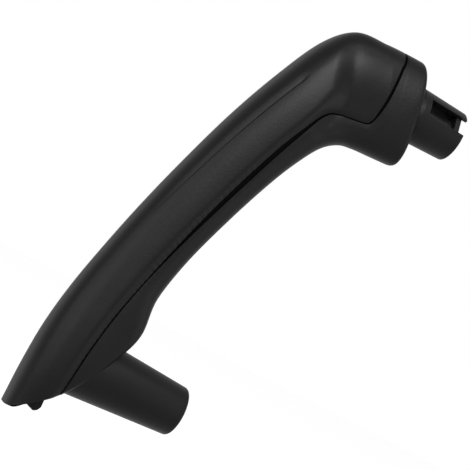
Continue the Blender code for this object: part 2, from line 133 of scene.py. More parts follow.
# How the sides stand out, in mm. By distance from the seam the cover's edge tucks under, then a soft ridge and a
# hollow follow. The waist under the head's fold runs on over the seam, and the collar is drawn in towards it.
relief = {
    "away": (0, 1.4, 2.8, 3.9, 4.9, 6, 8, 11, 15, 19, 24, 30, 38, 60),
    "out": (-0.95, -0.25, 0.42, 0.78, 0.88, 0.8, 0.5, 0.04, -0.46, -0.74, -0.7, -0.4, -0.12, 0),
    "carrierTuck": 0.48, "carrierTuckWidth": 3.6, "carrierTuckLow": 0.35,
    "tuckFrom": 25.0, "tuckRise": 25.0, "edgeKept": 1.9, "fullAt": 12.0, "steps": 200, "seamStride": 3,
    "waistLine": (
        (-8.0, 146.0), (-6.0, 156.8), (-4.0, 165.0), (-6.5, 172.6), (-9.5, 181.0), (-11.5, 187.4), (-12.0, 200.0),
    ),
    "waistDepth": 2.6, "waistBefore": 10.0, "waistAfter": 2.2, "waistReturn": 1.8, "waistBack": 19.0,
    "waistUnder": 13.0, "waistFrom": 140.0, "waistRise": 12.0, "headBefore": 12.0, "headBlend": 16.0,
    "collarTuck": 1.2, "collarWidth": 12.5, "collarPower": 1.15, "collarLow": -12.0, "collarFade": 14.0,
    "uprightFrom": -13.0,
}
reliefPoints = np.column_stack([relief["away"], relief["out"]])
reliefCurve = smoothThrough(reliefPoints, np.linspace(0, len(reliefPoints) - 1, relief["steps"]))


def fromSeam(points):
    # distance in mm from the seam's long run, which ends at its corner under the head
    corner = np.abs(seamCurve - headSeam[handle["seamCorner"]]).sum(axis=1).argmin()
    run = seamCurve[:corner][::relief["seamStride"]]
    found = np.empty(len(points))
    for start in range(0, len(points), chunk):
        away = np.asarray(points[start:start + chunk])[:, None, :] - run[None]
        found[start:start + chunk] = np.linalg.norm(away, axis=2).min(axis=1)
    return found


def swellAt(points, isCover):
    # how far the sides stand out from the plain section at each (y, z), in mm
    r, away = relief, fromSeam(points)
    y, z = points[:, 0], points[:, 1]
    line = np.array(r["waistLine"])
    past = y - np.interp(z, line[:, 1], line[:, 0])
    high = ease((z - r["waistFrom"]) / r["waistRise"])
    waist = r["waistDepth"] * ease((past + r["waistBefore"]) / (r["waistBefore"] + r["waistAfter"]))
    waist -= r["waistReturn"] * ((past - r["waistAfter"]) / r["waistBack"]).clip(0, 1)
    waist *= high
    if isCover:
        out = np.interp(away, reliefCurve[:, 0], reliefCurve[:, 1])
        onHead = high * ease((past + r["headBefore"]) / r["headBlend"])
        return np.where(away > r["edgeKept"], out * (1 - onHead), out) - waist
    # the carrier meets the cover's waist at the seam, and the collar is drawn in towards the seam's upright run
    upright = seamCurve[seamCurve[:, 1] > rise + r["uprightFrom"]]
    behind = (y - np.interp(z, upright[:, 1], upright[:, 0])).clip(0)
    collar = r["collarTuck"] * (1 - behind / r["collarWidth"]).clip(0)**r["collarPower"]
    collar = collar * ease((z - rise - r["collarLow"]) / r["collarFade"]) * (y > handle["headY"])
    tuck = r["carrierTuck"] * between(r["carrierTuckLow"], 1, ease((z - r["tuckFrom"]) / r["tuckRise"]))
    tuck = tuck * (1 - away / r["carrierTuckWidth"]).clip(0)**2
    return -tuck - collar - waist * (1 - ease(away / r["waistUnder"]))


def withSwell(x, points, isCover):
    # half widths with the swell, which fades out towards the middle plane
    return x + swellAt(points, isCover) * (x / relief["fullAt"]).clip(0, 1)


def lengthAlong(curve):
    return np.concatenate([[0], np.cumsum(np.linalg.norm(np.diff(curve, axis=0), axis=1))])


def besideSeam(side, distance):
    # the seam moved aside, towards the cover for side 1, without the points that come nearer to it again
    kept = 0.97
    ahead = np.gradient(seamCurve, axis=0)
    ahead /= np.linalg.norm(ahead, axis=1)[:, None]
    moved = seamCurve + side * distance[:, None] * np.column_stack([-ahead[:, 1], ahead[:, 0]])
    gaps = np.linalg.norm(moved[:, None] - seamCurve[None], axis=2).min(axis=1)
    return moved[gaps > kept * distance]


print("outline ready", len(fineRows))


def crossing(front, back, curve):
    # where the line from front to back, or a little past its ends, meets a curve of the middle plane
    slack = 0.1
    reach = back - front
    aside = (curve[:, 1] - front[1]) * reach[0] - (curve[:, 0] - front[0]) * reach[1]
    share = (curve - front) @ reach / (reach @ reach)
    turns = np.sign(aside[:-1]) != np.sign(aside[1:])
    at = np.flatnonzero(turns & (share[:-1] > -slack) & (share[:-1] < 1 + slack))[-1]
    f = aside[at] / (aside[at] - aside[at + 1])
    return curve[at] * (1 - f) + curve[at + 1] * f


def pointOn(curve, share):
    run = lengthAlong(curve)
    return np.array([np.interp(share * run[-1], run, curve[:, i]) for i in range(curve.shape[1])])


def halfRings(stations, places, isCover):
    # each station is a run of middle-plane points from x = 0 to the edge, and its places say, for the finely
    # drawn ring and the distances along it, where the columns stand
    count = 140
    spread = np.linspace(-1, 1, count)
    shares = 0.5 + 0.5 * np.sign(spread) * (1 - (1 - np.abs(spread))**handle["sectionPower"])
    lines = np.array([np.column_stack([np.interp(shares, np.linspace(0, 1, len(s)), s[:, i]) for i in (0, 1)])
                      for s in stations])
    flat = lines.reshape(-1, 2)
    x = withSwell(sideAt(flat), flat, isCover).reshape(len(stations), count)
    x[:, 0] = 0
    rings = []
    for line, side, place in zip(lines, x, places):
        ring = np.column_stack([side, line])
        run = lengthAlong(ring)
        wanted = place(ring, run)
        rings.append(np.column_stack([np.interp(wanted, run, ring[:, i]) for i in range(3)]))
    return np.array(rings)


def deselectAll():
    if bpy.context.object and bpy.context.object.mode != "OBJECT":
        bpy.ops.object.mode_set(mode="OBJECT")
    bpy.ops.object.select_all(action="DESELECT")


def pick(thing):
    deselectAll()
    bpy.context.view_layer.objects.active = thing
    thing.select_set(True)
    return thing


def applyAll(thing):
    pick(thing)
    for modifier in list(thing.modifiers):
        bpy.ops.object.modifier_apply(modifier=modifier.name)
    return thing


def addModifier(thing, kind, **settings):
    modifier = thing.modifiers.new(kind.lower(), kind)
    for name, value in settings.items():
        setattr(modifier, name, value)
    return modifier


def sheetOf(name, rings):
    # a grid, one row per station, whose corners are then moved to the rings' points
    high, wide = rings.shape[:2]
    deselectAll()
    bpy.ops.mesh.primitive_grid_add(x_subdivisions=wide - 1, y_subdivisions=high - 1, size=2)
    sheet = bpy.context.object
    sheet.name = sheet.data.name = name
    flat = np.empty(high * wide * 3)
    sheet.data.vertices.foreach_get("co", flat)
    flat = flat.reshape(-1, 3)
    column = np.rint((flat[:, 0] + 1) / 2 * (wide - 1)).astype(int)
    line = np.rint((flat[:, 1] + 1) / 2 * (high - 1)).astype(int)
    sheet.data.vertices.foreach_set("co", (rings[line, column] * mm).ravel())
    sheet.data.update()
    return sheet


def bothSides(half):
    # the half rings with their mirror image, running from the left edge over the middle to the right edge
    left = half[:, :0:-1] * [-1, 1, 1]
    return np.concatenate([left, half], axis=1)


def tidyMesh(thing, merge=0.02 * mm):
    pick(thing)
    bpy.ops.object.mode_set(mode="EDIT")
    bpy.ops.mesh.select_all(action="SELECT")
    bpy.ops.mesh.remove_doubles(threshold=merge)
    bpy.ops.mesh.normals_make_consistent(inside=False)
    bpy.ops.object.mode_set(mode="OBJECT")


def addInsideShadeSlot(shell):
    # two finishes on a shell: the moulded outside, and the inside with the walls of the seam, whose finish is darker
    # and without sheen, painted shade that keeps the seam black
    for name in ("outside", "inside"):
        shell.data.materials.append(bpy.data.materials.get(name) or bpy.data.materials.new(name))


def addWall(shell, wall, even):
    # the wall grows inwards, and its rim gets the inside's darker painted-shade finish too
    addInsideShadeSlot(shell)
    addModifier(shell, "SOLIDIFY", thickness=wall * mm, offset=-1, use_even_offset=even,
                use_rim=True, material_offset=1, material_offset_rim=1)
    return applyAll(shell)


def roundEdges(thing, width, segments, angle):
    addModifier(thing, "BEVEL", width=width * mm, segments=segments, limit_method="ANGLE", angle_limit=radians(angle))
    return applyAll(thing)


def selectVertices(thing, test):
    # into edit mode with just the vertices selected that pass the test
    pick(thing)
    bpy.ops.object.mode_set(mode="EDIT")
    bpy.ops.mesh.select_mode(type="VERT")
    bpy.ops.mesh.select_all(action="DESELECT")
    bpy.ops.object.mode_set(mode="OBJECT")
    for vertex in thing.data.vertices:
        vertex.select = test(vertex.co)
    bpy.ops.object.mode_set(mode="EDIT")


def smoothShade(thing, angle=32):
    pick(thing)
    bpy.ops.object.shade_smooth_by_angle(angle=radians(angle))


def boolean(target, other, operation):
    modifier = addModifier(target, "BOOLEAN", object=other, operation=operation, solver="MANIFOLD")
    pick(target)
    bpy.ops.object.modifier_apply(modifier=modifier.name)
    bpy.data.objects.remove(other, do_unlink=True)


def joinTo(target, *others):
    deselectAll()
    for other in others:
        other.select_set(True)
    target.select_set(True)
    bpy.context.view_layer.objects.active = target
    bpy.ops.object.join()
    return target


# Gap between cover and carrier: its half width in mm at heights up the handle
gap = {
    "heights": (-20, 20, 48, 65, 90, 110, 130, 140, 150, 155, 159, 163, 168, 176, 186, 196),
    "halfWidths": (0.2, 0.2, 0.26, 0.55, 1.1, 1.3, 1.2, 0.95, 0.55, 0.3, 0.25, 0.44, 0.7, 0.84, 0.8, 0.7),
}


def seamEdge(side):
    # the rim of the cover (side 1) or the carrier (side -1) beside the seam
    return besideSeam(side, np.interp(seamCurve[:, 1], gap["heights"], gap["halfWidths"]))


print("seam ready", len(seamCurve))

# Cover: a shell over the front, open at the seam, with a shallow finger ledge on each shoulder
cover = {
    "wall": 2.6, "rimRound": 0.4, "rimAngle": 62, "merge": 0.015, "columns": (14, 20, 22), "edgeLeft": 1.5,
    "stationStep": 1.2, "fanStations": 8, "fanRow": 11, "fanPoints": 40, "cornerZ": 163.8,
    "ledgeLow": 88.0, "ledgeLength": 93.5, "ledgeShares": (-0.3, 1.1), "ledgeSideLow": 9.2, "ledgeSideTop": 11.6,
    "ledgeWidthLow": 2.0, "ledgeWidthTop": 4.6, "ledgeReach": 0.54, "ledgeDepth": 0.6, "ledgeStep": 0.2,
    "ledgeFall": 1.3, "ledgeEnd": 2.4, "ledgeEndLeast": 0.25, "ledgeGrow": 2.2, "ledgeThin": 0.45, "ledgeFull": 1.3,
}


def evenRows(piece):
    # row numbers at even distances along the middle line up to the bend, and the line's own lengths and rows
    run = lengthAlong((fineRows[:, 0:2] + fineRows[:, 2:4]) / 2)
    fine = np.linspace(0, lastRow, len(run))
    last = np.interp(piece["fanRow"], fine, run)
    return np.interp(np.linspace(0, last, round(last / piece["stationStep"]) + 1), run, fine), run, fine


def coverStations(rim):
    # lines of the middle plane from the front outline to the seam, and how far up the handle each one is
    ats, run, fine = evenRows(cover)
    stations, lengths = [], []
    for at in ats:
        row = smoothThrough(rows, np.array([at]))[0]
        stations.append(np.array([row[0:2], crossing(row[0:2], row[2:4], rim)]))
        lengths.append(np.interp(at, fine, run))
    # past the bend the lines fan round the seam's corner until the last one lies on the seam's upright run
    onHead = rim[:, 0] > handle["headY"]
    upright = rim[(rim[:, 1] > cover["cornerZ"]) & onHead]
    front = fineRows[fineRows[:, 1] > rise, 0:2]
    edge = np.interp(front[:, 1], upright[:, 1], upright[:, 0])
    topEnd = front[np.abs(front[:, 0] - edge).argmin()]
    upright = np.vstack([topEnd, upright[upright[:, 1] < topEnd[1]][::-1]])
    first, corner = stations[-1], upright[-1]
    topRun = front[(front[:, 0] >= first[0][0]) & (front[:, 0] <= topEnd[0])]
    slack = 0.01
    lowRun = rim[(rim[:, 1] >= first[1][1] - slack) & (rim[:, 1] <= corner[1]) & onHead]
    share = np.linspace(0, 1, cover["fanPoints"])
    lastLine = np.array([pointOn(upright, t) for t in share])
    straight = topEnd + (corner - topEnd) * share[:, None]
    for w in np.linspace(0, 1, cover["fanStations"] + 1)[1:]:
        a, b = pointOn(topRun, w), pointOn(lowRun, w)
        stations.append(a + (b - a) * share[:, None] + (lastLine - straight) * w**3)
        lengths.append(lengths[-1] + cover["stationStep"])
    return stations, np.array(lengths)


def ledgeAt(length):
    # the share of the ledge's length, its centre's distance from the middle plane and its width
    share = (length - cover["ledgeLow"]) / cover["ledgeLength"]
    side = between(cover["ledgeSideLow"], cover["ledgeSideTop"], np.clip(share, *cover["ledgeShares"]))
    width = between(cover["ledgeWidthLow"], cover["ledgeWidthTop"], np.clip(share, 0, 1))
    return share, side, width


def coverPlaces(length):
    # columns stand closer together along the ledge
    def places(ring, run):
        _, side, width = ledgeAt(length)
        centre, reach = np.interp(side, ring[:, 0], run), cover["ledgeReach"] * width
        low, high = centre - reach, min(centre + reach, run[-1] - cover["edgeLeft"])
        before, on, after = cover["columns"]
        return np.concatenate([np.linspace(0, low, before + 1), np.linspace(low, high, on + 1)[1:],
                               np.linspace(high, run[-1], after + 1)[1:]])
    return places


def sinkLedge(rings, lengths):
    # the ledge: it falls away gently from the front and steps up again towards the seam, with a round upper end
    tiny = 1e-9
    out = np.cross(np.gradient(rings, axis=1), np.gradient(rings, axis=0))
    out /= np.linalg.norm(out, axis=2)[..., None].clip(tiny)
    out *= np.sign((out * (rings - rings.mean(axis=(0, 1)))).sum(axis=2).mean())
    sunk = rings.copy()
    for i, length in enumerate(lengths):
        share, side, width = ledgeAt(length)
        toEnd = cover["ledgeLow"] + cover["ledgeLength"] - length
        if share <= 0 or toEnd <= 0:
            continue
        end = np.sqrt(1 - (1 - min(toEnd / cover["ledgeEnd"], 1))**2)
        run = lengthAlong(rings[i])
        across = (run - np.interp(side, rings[i][:, 0], run)) / (width / 2 * max(end, cover["ledgeEndLeast"]))
        step = 2 * cover["ledgeStep"]
        fall = ((across + 1) / (2 - step)).clip(0, 1)**cover["ledgeFall"]
        shape = np.where(across < 1 - step, fall, ease((1 - across) / step))
        depth = cover["ledgeDepth"] * ease(share * cover["ledgeGrow"])
        depth = depth * between(cover["ledgeThin"], 1, min(share * cover["ledgeFull"], 1)) * end
        sunk[i] -= out[i] * (depth * shape)[:, None]
    return sunk


def makeCover():
    rim = seamEdge(1)
    stations, lengths = coverStations(rim)
    half = halfRings(stations, [coverPlaces(length) for length in lengths], True)
    half = sinkLedge(half, lengths)
    half[:, 0, 0] = 0
    shell = sheetOf("gripCoverShell", bothSides(half))
    tidyMesh(shell)
    addWall(shell, cover["wall"], True)
    roundEdges(shell, cover["rimRound"], 3, cover["rimAngle"])
    tidyMesh(shell, cover["merge"] * mm)
    smoothShade(shell)
    return shell


gripCover = makeCover()
print("cover", len(gripCover.data.polygons), "faces")

# Carrier: the back of the grip, the collar round the end of the head, the lower post and the upper stub
carrier = {
    "wall": 2.1, "columns": 40, "stationStep": 0.8, "fanRow": 11, "fanStations": 18, "headRings": 12,
    "endRound": 2.4, "endSteps": 7, "nearEnd": 0.1, "faceSlack": 0.03, "merge": 0.004,
    "stubHoleR": 12.0, "stubHoleY": (21, 45),
}
post = {
    "endR": 12.1, "draft": 3.5, "endRound": 1.8, "endAngle": 86, "wall": 2.4, "root": -55.8, "seat": -50.0,
    "boreR": 6.4, "bossR": 8.4, "wellR": 9.0, "pocketDepth": 30.0, "plugInset": 1.2, "plugAhead": 0.6, "plugEnd": -20,
    "ribs": 6, "ribWall": 1.6, "ribSunk": 0.8, "ribInto": 0.3, "ribMiddle": 9, "ribReach": 0.2, "ribOuter": 0.6,
    "ribRound": 0.3,
}
stub = {
    "endY": 57.0, "endR": 12.4, "draft": 2.2, "endRound": 0.8, "endAngle": 88, "wall": 2.3, "root": 19.0,
    "seat": 11.0, "boreR": 6.4, "bossR": 8.4, "hollowFrom": 35.0, "ringY": 54.6, "ringWall": 2.6, "rimR": 10.6,
    "slotY": 35.9, "slotWidth": 8.4, "slotAngle": 30.0, "slotInner": 7.1, "cutR": 20, "cutPast": 1, "notchInner": 9.8,
    "notchBelow": 0.1, "notchInset": 0.02, "webWall": 1.6, "webR": 6.13, "webInto": 0.2,
    "bandHeight": 2.6, "bandProud": 0.65, "bandLow": 0.05, "bandWall": 1.2, "bandInto": 0.5, "bandCorner": 0.6,
}
lips = {"inset": 3.0, "wall": 1.2, "offsets": (-4.0, -1.5, -0.6, 0.6, 3.0), "low": -11, "top": 20.5, "points": 160,
        "least": 0.5}
footPlate = {"inset": 3.2, "recess": 1.2, "wall": 2.6, "columns": 24, "nearTip": 0.06, "round": 0.3, "roundAngle": 50}
tabPiece = {
    "half": 5.0, "round": 0.7, "roundAngle": 30,
    "outline": ((-72, -24.2), (-68, -26.4), (-63.4, -28.3), (-61.6, -27.2), (-60.6, -25.3), (-60.9, -20), (-68, -16.7)),
}
roundSteps = 96
fineMerge = 0.002 * mm


def turned(name, profile, z=0.0, steps=roundSteps):
    # a closed outline of (y, radius) points spun about a line along Y at height z
    deselectAll()
    bpy.ops.mesh.primitive_circle_add(vertices=len(profile), radius=1, fill_type="NOTHING")
    made = bpy.context.object
    made.name = made.data.name = name
    for vertex, (y, r) in zip(made.data.vertices, profile):
        vertex.co = (r * mm, y * mm, z * mm)
    bpy.ops.object.mode_set(mode="EDIT")
    bpy.ops.mesh.select_all(action="SELECT")
    bpy.ops.mesh.spin(steps=steps, angle=2 * pi, center=(0, 0, z * mm), axis=(0, 1, 0))
    bpy.ops.object.mode_set(mode="OBJECT")
    tidyMesh(made, fineMerge)
    return made


def roundPlug(name, low, lowR, high, highR, z=0.0):
    # a solid cone frustum along Y
    deselectAll()
    bpy.ops.mesh.primitive_cone_add(vertices=roundSteps, radius1=lowR * mm, radius2=highR * mm, depth=(high - low) * mm,
                                    location=(0, (low + high) / 2 * mm, z * mm), rotation=(-pi / 2, 0, 0))
    made = bpy.context.object
    made.name = made.data.name = name
    bpy.ops.object.transform_apply(location=True, rotation=True, scale=True)
    return made


def arc(y, r, radius, start, stop, steps=5):
    # points of a rounded corner, angles counted from +Y towards the outside
    return [(y + radius * cos(radians(a)), r + radius * sin(radians(a))) for a in np.linspace(start, stop, steps + 1)]


def block(name, low, high, turn=None):
    # a block between two corners, turned about the origin if a matrix is given
    deselectAll()
    low, high = Vector(low) * mm, Vector(high) * mm
    bpy.ops.mesh.primitive_cube_add(size=1, location=(low + high) / 2, scale=high - low)
    made = bpy.context.object
    made.name = made.data.name = name
    if turn is not None:
        made.matrix_world = turn @ made.matrix_world
    bpy.context.view_layer.update()
    bpy.ops.object.transform_apply(location=True, rotation=True, scale=True)
    return made


def closedRing(at, inset, count, swollen=False):
    # the whole section at a row number as half a ring from the back round to the front
    fine = 400
    row = smoothThrough(rows, np.array([at]))[0]
    centre, reach, half = (row[0:2] + row[2:4]) / 2, (row[2:4] - row[0:2]) / 2, row[4] - inset
    reach = reach * (1 - inset / np.linalg.norm(reach))
    n = np.cos(np.linspace(0, pi, fine))
    power = powerAt(at, n)
    x = half * (1 - np.abs(n)**power)**(1 / power)
    ring = np.column_stack([x, centre + reach * n[:, None]])
    if swollen:
        ring[:, 0] = withSwell(x, ring[:, 1:], False)
    run = lengthAlong(ring)
    wanted = np.linspace(0, run[-1], count)
    ring = np.column_stack([np.interp(wanted, run, ring[:, i]) for i in range(3)])
    ring[[0, -1], 0] = 0
    return ring


def rowStep(at, reach=0.05):
    # how far the middle line runs for one row number, in mm
    a, b = smoothThrough(rows, np.array([at - reach, at + reach]))
    return np.linalg.norm((b[0:2] + b[2:4] - a[0:2] - a[2:4]) / 2) / (2 * reach)


def fillHoles(thing):
    tidyMesh(thing)
    bpy.ops.object.mode_set(mode="EDIT")
    bpy.ops.mesh.select_mode(type="EDGE")
    bpy.ops.mesh.select_all(action="DESELECT")
    bpy.ops.mesh.select_non_manifold(extend=False, use_wire=False, use_multi_face=False, use_non_contiguous=False,
                                     use_verts=False)
    bpy.ops.mesh.edge_face_add()
    bpy.ops.mesh.select_all(action="SELECT")
    bpy.ops.mesh.normals_make_consistent(inside=False)
    bpy.ops.mesh.select_mode(type="VERT")
    bpy.ops.object.mode_set(mode="OBJECT")


def makeCarrierShell():
    rim = seamEdge(-1)
    columns = carrier["columns"]
    ats, _, fine = evenRows(carrier)
    stations = []
    for at in ats:
        row = smoothThrough(rows, np.array([at]))[0]
        stations.append(np.array([row[2:4], crossing(row[2:4], row[0:2], rim)]))
    # past the bend the edge climbs the seam's upright run while the back goes on along the head's underside
    front = fineRows[:, 0:2]
    top = np.flatnonzero(front[:, 1] > rise)
    edge = np.interp(front[top, 1], rim[rim[:, 1] > rise, 1], rim[rim[:, 1] > rise, 0])
    meets = top[np.abs(front[top, 0] - edge).argmin()]
    first = stations[-1][1]
    after = rim[np.linalg.norm(rim - first, axis=1).argmin():]
    after = np.vstack([first, after[(after[:, 1] > first[1]) & (after[:, 1] < front[meets, 1])], front[meets]])
    for w in np.linspace(0, 1, carrier["fanStations"] + 1)[1:]:
        row = smoothThrough(rows, np.array([between(carrier["fanRow"], fine[meets], w)]))[0]
        stations.append(np.array([row[2:4], pointOn(after, w)]))
    share = np.linspace(0, 1, columns)
    half = halfRings(stations, [lambda ring, run: share * run[-1]] * len(stations), False)
    # whole rings from there to the end face, drawn in round its rim
    step, rounding = rowStep(lastRow - carrier["nearEnd"]), carrier["endRound"]
    whole = [(at, 0) for at in np.linspace(fine[meets], lastRow - rounding / step, carrier["headRings"])[1:]]
    for a in np.linspace(0, pi / 2, carrier["endSteps"] + 1)[1:]:
        whole.append((lastRow - rounding * (1 - sin(a)) / step, rounding * (1 - cos(a))))
    half[-1, -1, 0] = 0
    half = np.concatenate([half, [closedRing(at, inset, columns, True) for at, inset in whole]])
    half[:, 0, 0] = 0
    shell = sheetOf("handleCarrierShell", bothSides(half))
    tidyMesh(shell)
    # the end face closes the last ring
    endRow = rows[-1]
    centre = Vector((0, (endRow[0] + endRow[2]) / 2, (endRow[1] + endRow[3]) / 2)) * mm
    normal = Vector((0, -(endRow[3] - endRow[1]), endRow[2] - endRow[0])).normalized()
    selectVertices(shell, lambda co: abs((co - centre).dot(normal)) < carrier["faceSlack"] * mm)
    bpy.ops.mesh.edge_face_add()
    bpy.ops.mesh.select_all(action="SELECT")
    bpy.ops.mesh.normals_make_consistent(inside=False)
    bpy.ops.object.mode_set(mode="OBJECT")
    return addWall(shell, carrier["wall"], False)


def makePost():
    p = post
    slope = tan(radians(p["draft"]))
    outer = lambda y: p["endR"] - y * slope
    inner = lambda y: outer(y) - p["wall"]
    depth = -p["pocketDepth"]
    profile = [(p["root"], p["wellR"]), (p["seat"], p["wellR"]), (p["seat"], p["boreR"]), (0, p["boreR"]),
               (0, p["bossR"]), (depth, p["bossR"]), (depth, inner(depth)), (0, inner(0)),
               (0, p["endR"] - p["endRound"])]
    profile += arc(-p["endRound"], p["endR"] - p["endRound"], p["endRound"], 0, p["endAngle"])
    profile += [(p["root"], outer(p["root"]))]
    body = turned("lowerPost", profile)
    # short ribs between the boss and the wall, modelled once and turned round the bore
    rib = block("postRib", (p["bossR"] - p["ribInto"], depth - p["ribInto"], -p["ribWall"] / 2),
                (inner(depth) + p["ribReach"], -p["ribSunk"], p["ribWall"] / 2))
    for vertex in rib.data.vertices:
        if vertex.co.x > p["ribMiddle"] * mm:
            vertex.co.x = (inner(vertex.co.y / mm) + p["ribOuter"]) * mm
    addModifier(rib, "BEVEL", width=p["ribRound"] * mm, segments=2)
    applyAll(rib)
    ribs = [rib]
    for i in range(1, p["ribs"]):
        copy = rib.copy()
        copy.data = rib.data.copy()
        bpy.context.collection.objects.link(copy)
        copy.data.transform(Matrix.Rotation(2 * pi * i / p["ribs"], 4, "Y"))
        ribs.append(copy)
    return body, ribs


def makeStub():
    # the stub, two webs beside its sleeve that keep light out of its windows, and the band round its base
    s = stub
    slope = tan(radians(s["draft"]))
    outer = lambda y: s["endR"] + (s["endY"] - y) * slope
    under = s["ringY"] - s["ringWall"]
    roundY = s["endY"] - s["endRound"]
    profile = [(s["seat"], s["boreR"]), (s["seat"], s["bossR"]), (s["root"], s["bossR"]), (s["root"], outer(s["root"]))]
    profile += arc(roundY, s["endR"] - s["endRound"], s["endRound"], s["endAngle"], 0, 4)
    profile += [(s["endY"], s["rimR"]), (s["ringY"], s["rimR"]), (s["ringY"], s["boreR"]), (under, s["boreR"]),
                (under, s["endR"] - s["wall"]), (s["hollowFrom"], s["endR"] - s["wall"]), (s["hollowFrom"], s["boreR"])]
    body = turned("upperStub", profile, rise)
    for angle in (-s["slotAngle"], s["slotAngle"] - 180):
        turn = Matrix.Translation((0, 0, rise * mm)) @ Matrix.Rotation(radians(angle), 4, "Y")
        half = s["slotWidth"] / 2
        window = block("window", (s["slotInner"], s["slotY"], -half), (s["cutR"], under, half), turn)
        boolean(body, window, "DIFFERENCE")
        half -= s["notchInset"]
        notch = block("notch", (s["notchInner"], under - s["notchBelow"], -half),
                      (s["cutR"], s["endY"] + s["cutPast"], half), turn)
        boolean(body, notch, "DIFFERENCE")
    webs = []
    half, into = s["webWall"] / 2, s["webInto"]
    for low, high in ((s["webR"], s["rimR"] - into), (-s["rimR"] + into, -s["webR"])):
        webs.append(block("stubWeb", (-half, s["hollowFrom"] - into, rise + low), (half, under + into, rise + high)))
    # the band is turned upright and then leant against the head's sloping end face
    endRow = rows[-1]
    lean = atan2(endRow[2] - endRow[0], endRow[1] - endRow[3])
    faceY = np.interp(rise, (endRow[3], endRow[1]), (endRow[2], endRow[0]))
    top, r, corner = s["bandHeight"], outer(faceY) + s["bandProud"], s["bandCorner"] * s["bandProud"]
    inside, low = r - s["bandWall"], outer(faceY) + s["bandLow"]
    profile = [(-s["bandInto"], inside), (top, inside), (top, r - corner)]
    profile += arc(top - corner, r - corner, corner, 0, 90, 4)[1:] + [(0, low), (-s["bandInto"], low)]
    band = turned("stubBand", profile)
    band.data.transform(Matrix.Translation((0, faceY * mm, rise * mm)) @ Matrix.Rotation(lean, 4, "X"))
    return body, webs, band


def makeCarrier():
    shell = makeCarrierShell()
    slope = tan(radians(post["draft"]))
    inside = lambda y: post["endR"] - y * slope - post["plugInset"]
    low, high = post["root"] + post["plugAhead"], post["plugEnd"]
    boolean(shell, roundPlug("postPlug", low, inside(low), high, inside(high)), "DIFFERENCE")
    (low, high), r = carrier["stubHoleY"], carrier["stubHoleR"]
    boolean(shell, roundPlug("stubHole", low, r, high, r, rise), "DIFFERENCE")
    body, ribs = makePost()
    boolean(shell, body, "UNION")
    stubBody, webs, band = makeStub()
    boolean(shell, stubBody, "UNION")
    boolean(shell, band, "UNION")
    tidyMesh(shell, carrier["merge"] * mm)
    print("carrier shell", len(shell.data.polygons), "faces")
    return shell, ribs + webs


def makeLips():
    # strips inside the seam, so that no light passes it; they take the inside's darker finish, painted shade in the
    # seam
    strips = []
    for side in (1, -1):
        lines = []
        for offset in lips["offsets"]:
            line = besideSeam(1 if offset > 0 else -1, np.full(len(seamCurve), abs(offset)))
            line = line[(line[:, 1] > lips["low"]) & (line[:, 1] < rise + lips["top"])]
            line = np.array([pointOn(line, t) for t in np.linspace(0, 1, lips["points"])])
            half = sideAt(line) + swellAt(line, offset > 0) - lips["inset"]
            lines.append(np.column_stack([side * half.clip(lips["least"]), line]))
        strip = sheetOf("seamLip", np.array(lines))
        addModifier(strip, "SOLIDIFY", thickness=lips["wall"] * mm, offset=side, use_even_offset=False)
        addInsideShadeSlot(strip)
        for face in strip.data.polygons:
            face.material_index = 1
        strips.append(applyAll(strip))
    return strips


def makeFootPlate():
    # the plate that closes the cover's lower tip
    f = footPlate
    step = rowStep(f["nearTip"])
    rings = [closedRing(away / step, f["inset"], f["columns"]) for away in (f["recess"], f["recess"] + f["wall"])]
    plate = sheetOf("footPlate", bothSides(np.array(rings)))
    fillHoles(plate)
    return roundEdges(plate, f["round"], 2, f["roundAngle"])


def makeTab():
    # the locating tab under the tip
    outline, half = tabPiece["outline"], tabPiece["half"]
    deselectAll()
    bpy.ops.mesh.primitive_circle_add(vertices=len(outline), radius=1, fill_type="NGON")
    tab = bpy.context.object
    for vertex, (y, z) in zip(tab.data.vertices, outline):
        vertex.co = Vector((-half, y, z)) * mm
    bpy.ops.object.mode_set(mode="EDIT")
    bpy.ops.mesh.select_all(action="SELECT")
    bpy.ops.mesh.extrude_region_move(TRANSFORM_OT_translate={"value": (2 * half * mm, 0, 0)})
    bpy.ops.object.mode_set(mode="OBJECT")
    tidyMesh(tab, fineMerge)
    return roundEdges(tab, tabPiece["round"], 3, tabPiece["roundAngle"])


handleCarrier, postRibs = makeCarrier()
joinTo(handleCarrier, *postRibs, *makeLips(), makeFootPlate(), makeTab())
handleCarrier.name = handleCarrier.data.name = "handleCarrier"
smoothShade(handleCarrier)
print("carrier", len(handleCarrier.data.polygons), "faces")

# Sleeves: turned steel, with the flange that the bolt's head presses on
sleeve = {"boreR": 4.4, "outerR": 6.1, "flangeR": 8.6, "flange": 1.6, "chamfer": 0.25, "chamferAngle": 40, "steps": 64,
          "lowerSeat": -50.3, "upperSeat": 10.7}


def makeSleeve(name, seat, end, z):
    s = sleeve
    low = seat - s["flange"]
    made = turned(name, [(low, s["boreR"]), (low, s["flangeR"]), (seat, s["flangeR"]), (seat, s["outerR"]),
                         (end, s["outerR"]), (end, s["boreR"])], z, s["steps"])
    roundEdges(made, s["chamfer"], 2, s["chamferAngle"])
    smoothShade(made)
    return made


lowerSleeve = makeSleeve("lowerSleeve", sleeve["lowerSeat"], 0.0, 0.0)
upperSleeve = makeSleeve("upperSleeve", sleeve["upperSeat"], stub["ringY"], rise)
gripCover.name = gripCover.data.name = "gripCover"
print("sleeves ready")

for piece, node, slot in ((gripCover, "grip_cover", "cover_plastic"), (handleCarrier, "carrier", "carrier_plastic"),
                          (lowerSleeve, "lower_sleeve", "sleeve_steel"), (upperSleeve, "upper_sleeve", "sleeve_steel")):
    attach(piece, "root")
    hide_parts(node)

